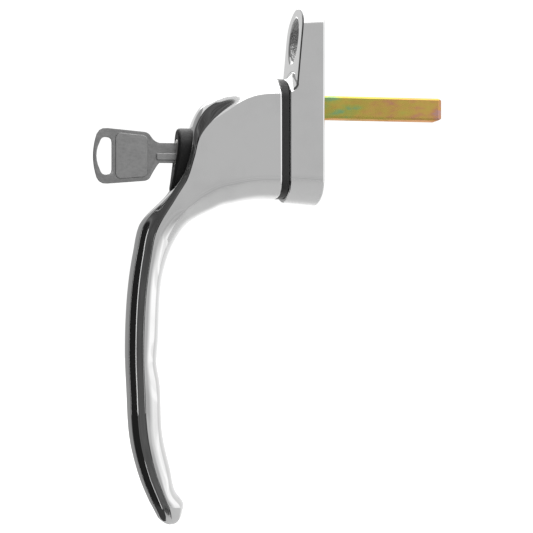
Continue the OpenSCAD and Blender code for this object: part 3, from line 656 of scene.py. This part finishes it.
finishes["gasket_black"] = moulded_black("gasket_black", dark=0.01, pale=0.018, low=0.42, high=0.58,
                                         gloss=0.35, grain_scale=2600)
finishes["surround_black"] = moulded_black("surround_black", dark=0.006, pale=0.012, low=0.42, high=0.56,
                                           gloss=0.26, grain_scale=2200)
print("finishes:", list(finishes))

# %% [markdown]
# The spindle is drawn steel with a yellow passivated zinc coat. The coat is a film so thin that it shows
# interference colours: green near the base, olive and straw, then orange and mauve toward the end.
# The film is made as a colour ramp whose place comes from the length of the bar and from a soft noise. Seen
# at a low angle such a film turns warmer, which is the tint on the shader.

# %% Passivated spindle
FILM_STOPS = [(0.1, (0.2, 0.33, 0.15)), (0.27, (0.33, 0.34, 0.08)), (0.45, (0.41, 0.32, 0.07)),
              (0.65, (0.44, 0.28, 0.08)), (0.8, (0.43, 0.22, 0.11)), (0.95, (0.38, 0.22, 0.2))]
FILM_ALONG, FILM_WANDER = 0.42, 0.58
LOW_ANGLE_TINT = (1, 0.6, 0.36)
BLOT_STRETCH, DRAWN_STRETCH = (1, 0.4, 1), (1, 0.06, 1)


def colour_ramp(tree, place, stops):
    """Colour by place on a ramp of (position, colour) stops, even before the first and after the last."""
    ramp = add_node(tree, "ShaderNodeValToRGB", {"Fac": place})
    elements = ramp.color_ramp.elements
    for element, (position, colour) in zip(elements, (stops[0], stops[-1])):
        element.position = position
        element.color = opaque(colour)
    for position, colour in stops[1:-1]:
        elements.new(position).color = opaque(colour)
    return ramp.outputs["Color"]


def passivated(name, start_y, end_y):
    """Film colour = ramp(place along the bar + noise); drawn streaks run along the bar."""
    material, tree, shader, place = start_finish(name, metallic=1)
    shader.inputs["Specular Tint"].default_value = opaque(LOW_ANGLE_TINT)
    split = add_node(tree, "ShaderNodeSeparateXYZ", {"Vector": place})
    along = ranged(tree, split.outputs["Y"], start_y, end_y, to_high=FILM_ALONG)
    blot = noise(tree, stretched(tree, place, BLOT_STRETCH), 330, detail=3.0, rough=0.6)
    wander = ranged(tree, blot, low=0.3, high=0.7, to_high=FILM_WANDER)
    film = colour_ramp(tree, arithmetic(tree, "ADD", along, wander), FILM_STOPS)
    feed(tree, shader.inputs["Base Color"], film)
    worn = use_group(tree, haze, place, scale=160, low=0.24, high=0.4)
    feed(tree, shader.inputs["Roughness"], worn["Roughness"])
    drawn = use_group(tree, streak, stretched(tree, place, DRAWN_STRETCH), scale=1800)
    bumped(tree, shader, drawn["Height"], strength=0.3, depth_mm=0.02)
    return material


finishes["spindle_passivate"] = passivated("spindle_passivate", 0.0, float(spindle_high[1]))
print("finishes:", list(finishes))

# %% [markdown]
# The other pieces are plain worked metal: the key is stamped and tumbled until it is satin grey, the plug
# is turned and nickel plated, the inner pieces are ground, turned or sprung steel, zinc and brass.
# One recipe serves them all, with streaks along the way the tool went and paler rubbed edges.

# %% Worked metals
def worked_metal(name, dark, pale, edge, low, high, way, streak_scale):
    """Colour goes from dark to pale with the streaks, then to the edge colour where it is rubbed."""
    material, tree, shader, place = start_finish(name, metallic=1)
    tool = use_group(tree, streak, stretched(tree, place, way), scale=streak_scale)
    wear = use_group(tree, rubbed, place, scale=500)
    body_colour = between_colours(tree, tool["Mask"], dark, pale)
    feed(tree, shader.inputs["Base Color"], between_colours(tree, wear["Mask"], body_colour, edge))
    patina = use_group(tree, haze, place, scale=140, low=low, high=high)
    feed(tree, shader.inputs["Roughness"], patina["Roughness"])
    bumped(tree, shader, tool["Height"], strength=0.25, depth_mm=0.015)
    return material


ALONG_Y, PARTLY_Y, ALONG_Z, EVEN = (1, 0.08, 1), (1, 0.5, 1), (1, 1, 0.08), (1, 1, 1)
# dark, pale and edge colour, low and high roughness, way of the tool, streaks per metre
WORKED_METALS = {
    "key_steel": (grey(0.2), grey(0.27), grey(0.42), 0.36, 0.5, PARTLY_Y, 1500),
    "plug_nickel": ((0.58, 0.57, 0.55), (0.68, 0.67, 0.65), (0.78, 0.77, 0.75), 0.16, 0.3, EVEN, 900),
    "bush_steel": ((0.4, 0.4, 0.41), (0.5, 0.5, 0.51), (0.6, 0.6, 0.61), 0.3, 0.45, ALONG_Z, 1300),
    "spring_steel": ((0.3, 0.3, 0.32), (0.42, 0.42, 0.45), (0.55, 0.55, 0.57), 0.26, 0.4, EVEN, 1500),
    "washer_steel": ((0.45, 0.45, 0.46), (0.56, 0.56, 0.57), (0.64, 0.64, 0.65), 0.28, 0.42, EVEN, 1100),
    "clip_steel": ((0.09, 0.09, 0.1), (0.16, 0.16, 0.17), (0.3, 0.3, 0.31), 0.34, 0.5, EVEN, 1400),
    "pin_steel": ((0.5, 0.5, 0.51), (0.6, 0.6, 0.61), (0.68, 0.68, 0.69), 0.22, 0.36, EVEN, 1300),
    "barrel_zinc": ((0.46, 0.46, 0.48), (0.58, 0.58, 0.6), (0.66, 0.66, 0.68), 0.36, 0.55, ALONG_Y, 900),
    "wafer_brass": ((0.62, 0.46, 0.2), (0.74, 0.57, 0.28), (0.82, 0.67, 0.4), 0.26, 0.4, ALONG_Z, 1200),
    "slide_steel": ((0.44, 0.44, 0.45), (0.55, 0.55, 0.56), (0.66, 0.66, 0.67), 0.26, 0.4, ALONG_Z, 1200),
}
finishes.update({slot: worked_metal(slot, *recipe) for slot, recipe in WORKED_METALS.items()})
print("finishes:", len(finishes))

# %% [markdown]
# Every piece takes the finish of its slot: the CAD nodes by the record, and the new pieces that stand for
# some of them by the list below.
# The inner pieces get theirs too, because they show as soon as the handle is taken apart.

# %% Put the finishes on the pieces
slot_of = {part["node"]: part["material_slot"] for part in frame["record"]["subparts"]}
for name, node in nodes.items():
    finish = finishes[slot_of[name]]
    if node.material_slots:
        for held in node.material_slots:
            held.material = finish
    else:
        node.data.materials.append(finish)
new_pieces = ((lever_skin, "lever_chrome"), (lever_hub, "lever_chrome"), (surround, "surround_black"),
              (base_casting, "base_chrome"), (gasket_plate, "gasket_black"),
              (spindle_bar, "spindle_passivate"), (key_blank, "key_steel"), (plug_face, "plug_nickel"))
for piece, slot in new_pieces:
    piece.data.materials.clear()
    piece.data.materials.append(finishes[slot])
print("finished", len(nodes), "CAD pieces and", len(new_pieces), "new ones")

# %% [markdown]
# A mirror finish is only as good as what it mirrors. Chrome is photographed in a white tent with one side
# left dark, and that side draws the black lines that show the form.
# The tent stands on a pale paper floor that glows by itself, which is painted light. The camera sees that
# glow nearly white, but the chrome sees a weaker glow, darker near the handle and brighter only far beyond
# it, so that the underside of the lever keeps its tone.

# %% Floor
FLOOR_UP, FLOOR_HALF = -0.5, 6
SEEN_GLOW, NEAR_GLOW, FAR_GLOW = 0.9, 0.2, 0.6


def flat_sheet(name, corners, finish):
    """A stage sheet from four corners in metres, in order round the sheet."""
    mesh = bpy.data.meshes.new(name)
    mesh.from_pydata(corners, [], [(0, 1, 2, 3)])
    mesh.materials.append(finish)
    sheet = bpy.data.objects.new(name, mesh)
    bpy.context.scene.collection.objects.link(sheet)
    return sheet


paper, tree, shader, place = start_finish("glowing_pale_paper")
fibre = use_group(tree, grain, place, scale=300)
feed(tree, shader.inputs["Base Color"], between_colours(tree, fibre["Mask"], grey(0.36), grey(0.4)))
shader.inputs["Roughness"].default_value = 0.9
shader.inputs["Emission Color"].default_value = opaque(grey(1))
# Painted light: the paper glows at 0.9 for camera rays, and in reflections its glow rises from 0.2 near the
# handle to 0.6 far beyond.
split = add_node(tree, "ShaderNodeSeparateXYZ", {"Vector": place})
beyond = arithmetic(tree, "SUBTRACT", split.outputs["Y"], split.outputs["X"])
painted_mirrored_glow = ranged(tree, beyond, low=0.6, high=2.5, to_low=NEAR_GLOW, to_high=FAR_GLOW)
seen = add_node(tree, "ShaderNodeLightPath").outputs["Is Camera Ray"]
feed(tree, shader.inputs["Emission Strength"], ranged(tree, seen, 0.0, 1.0, painted_mirrored_glow, SEEN_GLOW))
floor_corners = [(-FLOOR_HALF, -FLOOR_HALF, FLOOR_UP), (FLOOR_HALF, -FLOOR_HALF, FLOOR_UP),
                 (FLOOR_HALF, FLOOR_HALF, FLOOR_UP), (-FLOOR_HALF, FLOOR_HALF, FLOOR_UP)]
flat_sheet("pale_floor", floor_corners, paper)
print("floor at mm:", FLOOR_UP / MM)

# %% [markdown]
# On the room side hang a tall flat grey cloth, whose glow has painted fold shade in bands down it, and a
# lower black one, with slits of lit paper beside it.
# They draw the dark flank and the thin light line down the grip. Grey and pale boards on the far side and a
# dark mat below set the tones of the front faces and the underside.
# These sheets could be lit like the rest, but a weak glow of their own sets each tone exactly. The camera
# looks through them, and they throw no shadow.

# %% Cloths and boards
def hidden(sheet):
    """The camera looks through the sheet, and it throws no shadow; only mirrors show it."""
    sheet.visible_camera = False
    sheet.visible_shadow = False
    return sheet


def felt(name, dark, pale, painted_folds=0):
    """Felt or card that glows between two levels; with painted_folds per metre, bands of painted fold shade
    hang down the flat cloth.
    """
    material, tree, shader, place = start_finish(name)
    if painted_folds:
        # Painted shade: the glow changes in long upright bands, as the shade between folds would; without
        # them it follows a fine felt grain.
        nap_and_fold_shade = use_group(tree, streak, stretched(tree, place, (1, 1, 0.06)), scale=painted_folds)
    else:
        nap_and_fold_shade = use_group(tree, grain, place, scale=500)
    shader.inputs["Base Color"].default_value = opaque(grey(0))
    shader.inputs["Roughness"].default_value = 1.0
    shader.inputs["Specular IOR Level"].default_value = 0
    feed(tree, shader.inputs["Emission Color"], between_colours(tree, nap_and_fold_shade["Mask"], grey(dark), grey(pale)))
    shader.inputs["Emission Strength"].default_value = 1
    return material


def upright(start, end, low, high, end_high=None):
    """Corners of an upright sheet between two places on the floor; its top may slope to end_high."""
    return [(*start, low), (*end, low), (*end, high if end_high is None else end_high), (*start, high)]


def level_sheet(left, right, out, back, up):
    """Corners of a level sheet."""
    return [(left, out, up), (right, out, up), (right, back, up), (left, back, up)]


grey_felt, black_felt = felt("grey_felt", 0.04, 0.24, painted_folds=16), felt("black_felt", 0.015, 0.03)
lit_paper, grey_card = felt("slit_paper", 1.2, 1.4), felt("grey_card", 0.38, 0.44)
mat_felt, pale_card = felt("mat_felt", 0.05, 0.08), felt("pale_card", 0.78, 0.84)
SLIT_Y = -0.45
UPPER_SLIT = [(0.04, SLIT_Y, -0.17), (0.12, SLIT_Y, -0.17), (0.08, SLIT_Y, 0.1), (0.05, SLIT_Y, 0.1)]
LOWER_SLIT = [(0.03, SLIT_Y, -0.5), (0.1, SLIT_Y, -0.5), (0.09, SLIT_Y, -0.3), (0.06, SLIT_Y, -0.3)]
SHEETS = {
    "grey_cloth": (upright((-0.34, -0.47), (0.95, -0.47), FLOOR_UP, 1.15), grey_felt),
    "black_cloth": (upright((0.09, SLIT_Y), (0.92, SLIT_Y), FLOOR_UP, 0.2), black_felt),
    "upper_slit": (UPPER_SLIT, lit_paper),
    "lower_slit": (LOWER_SLIT, lit_paper),
    "far_board": (upright((-0.9, -0.8), (-0.9, 0.1), -0.28, 0.45, end_high=0.04), grey_card),
    "pale_board": (upright((-0.95, -0.26), (-0.95, 0.5), 0.0, 0.32), pale_card),
    "left_board": (upright((-0.34, -0.48), (-0.92, -0.22), FLOOR_UP, 0.42), grey_card),
    "dark_mat": (level_sheet(-0.1, 0.8, -0.47, -0.06, -0.49), mat_felt),
}
for name, (corners, finish) in SHEETS.items():
    hidden(flat_sheet(name, corners, finish))
print("hidden sheets:", list(SHEETS))

# %% [markdown]
# From behind the camera round to the window side the tent is a curved bright wall. The flat sides mirror
# its grey part, and the round back edge of the grip mirrors its bright part, so the tone of the wall changes
# with the direction from the origin. Bands of tone near its foot give the fine lines low on the neck.
# A lamp can't change tone so finely, so the wall glows by itself, with one ramp round it and one up it.

# %% Bright wall
WALL_R, WALL_TOP, WALL_POINTS = 1.1, 0.75, 60
WALL_FROM, WALL_TO = math.radians(-30), math.radians(105)
WALL_BRIGHT, FOOT_EVEN, FOOT_RANGE = 1.75, 0.95, 1.5
WALL_STOPS = [(-27, 0.43), (13, 0.43), (34, 0.9), (70, 0.9), (86, 0.64), (100, 0.64)]
FOOT_STOPS = [(0.05, FOOT_EVEN), (0.055, 0.8), (0.13, 0.84), (0.135, 1.0), (0.16, 1.0), (0.165, 0.8),
              (0.2, 0.84), (0.205, 0.99), (0.23, 0.99), (0.235, 0.88), (0.31, FOOT_EVEN)]

lit, tree, shader, place = start_finish("lit_wall")
split = add_node(tree, "ShaderNodeSeparateXYZ", {"Vector": place})
direction = arithmetic(tree, "ARCTAN2", split.outputs["Y"], split.outputs["X"])
round_stops = [((math.radians(degrees) - WALL_FROM) / (WALL_TO - WALL_FROM), grey(level))
               for degrees, level in WALL_STOPS]
round_tone = colour_ramp(tree, ranged(tree, direction, WALL_FROM, WALL_TO), round_stops)
height = ranged(tree, split.outputs["Z"], FLOOR_UP, FLOOR_UP + FOOT_RANGE)
foot_tone = colour_ramp(tree, height, [(position, grey(level)) for position, level in FOOT_STOPS])
wall_tone = between_colours(tree, 1.0, round_tone, foot_tone, blend_type="MULTIPLY")
feed(tree, shader.inputs["Emission Color"], wall_tone)
shader.inputs["Emission Strength"].default_value = WALL_BRIGHT / FOOT_EVEN
shader.inputs["Base Color"].default_value = opaque(grey(0))
shader.inputs["Specular IOR Level"].default_value = 0
a = np.linspace(WALL_FROM, WALL_TO, WALL_POINTS)
ring = np.stack([WALL_R * np.cos(a), WALL_R * np.sin(a)], -1)
points = np.concatenate([np.column_stack([ring, np.full(len(a), up)]) for up in (FLOOR_UP, WALL_TOP)])
i = np.arange(len(a) - 1)
mesh = bpy.data.meshes.new("tent_wall")
mesh.from_pydata(points.tolist(), [], np.stack([i, i + 1, i + 1 + len(a), i + len(a)], -1).tolist())
mesh.materials.append(lit)
wall = bpy.data.objects.new("tent_wall", mesh)
bpy.context.scene.collection.objects.link(wall)
hidden(wall)
print("wall of", len(mesh.polygons), "strips")

# %% [markdown]
# Two soft lights finish the tent: a large one overhead, which the shoulder of the neck mirrors as white,
# and one on the far side. Small lamps would leave hard dots on chrome.
# The world is the white cloth of the tent itself, even all round.

# %% Lights
TENT_GLOW, TENT_SEEN = 1.05, 1.06


def soft_light(name, place, aim, width, height, brightness):
    """A rectangular light at place that faces aim; its watts are brightness x pi x area."""
    lamp = bpy.data.lights.new(name, "AREA")
    lamp.shape = "RECTANGLE"
    lamp.size, lamp.size_y = width, height
    lamp.energy = brightness * math.pi * width * height
    holder = bpy.data.objects.new(name, lamp)
    bpy.context.scene.collection.objects.link(holder)
    from_aim = np.array(place, float) - np.array(aim, float)
    x, y, z = from_aim / np.linalg.norm(from_aim)
    holder.location = place
    holder.rotation_euler = (math.acos(z), 0, math.atan2(x, -y))
    print(name, "gives", round(lamp.energy, 1), "W")


soft_light("overhead", (0.35, 0.4, 1.3), (0.35, 0.4, 0), width=2.5, height=1.7, brightness=2.2)
soft_light("far_side", (-1.0, 0.35, 0.85), (0, 0, 0), width=1.5, height=1.0, brightness=1.6)
world = bpy.data.worlds.new("white_tent")
bpy.context.scene.world = world
world.use_nodes = True
tent = world.node_tree
cloth = tent.nodes["Background"]
cloth.inputs["Color"].default_value = opaque(grey(1))
seen = add_node(tent, "ShaderNodeLightPath").outputs["Is Camera Ray"]
feed(tent, cloth.inputs["Strength"], ranged(tent, seen, 0.0, 1.0, TENT_GLOW, TENT_SEEN))
bpy.context.scene.view_settings.view_transform = "Standard"

# %% [markdown]
# The camera stands level with the middle of the lever, to the right of the handle and a little toward the
# room, with the long lens of a catalogue picture. Its place was worked out from the edges that show in the
# photograph.

# %% Camera
SWING = math.radians(10.5)
FOCAL_PX, FRAME_PX, SENSOR_MM = 1300, 533, 36
CAMERA_AWAY, CAMERA_ACROSS, CAMERA_UP = 411.4, -15.64, -50.16
lens = bpy.data.cameras.new("catalogue_lens")
lens.sensor_width = SENSOR_MM
lens.lens = FOCAL_PX / FRAME_PX * SENSOR_MM
camera = bpy.data.objects.new("catalogue_camera", lens)
bpy.context.scene.collection.objects.link(camera)
away = np.array([math.cos(SWING), -math.sin(SWING), 0])
across = np.array([math.sin(SWING), math.cos(SWING), 0])
camera.location = (CAMERA_AWAY * away + CAMERA_ACROSS * across + [0, 0, CAMERA_UP]) * MM
camera.rotation_euler = (math.pi / 2, 0, math.pi / 2 - SWING)
bpy.context.scene.camera = camera
print("camera at mm:", [round(v / MM, 1) for v in camera.location])
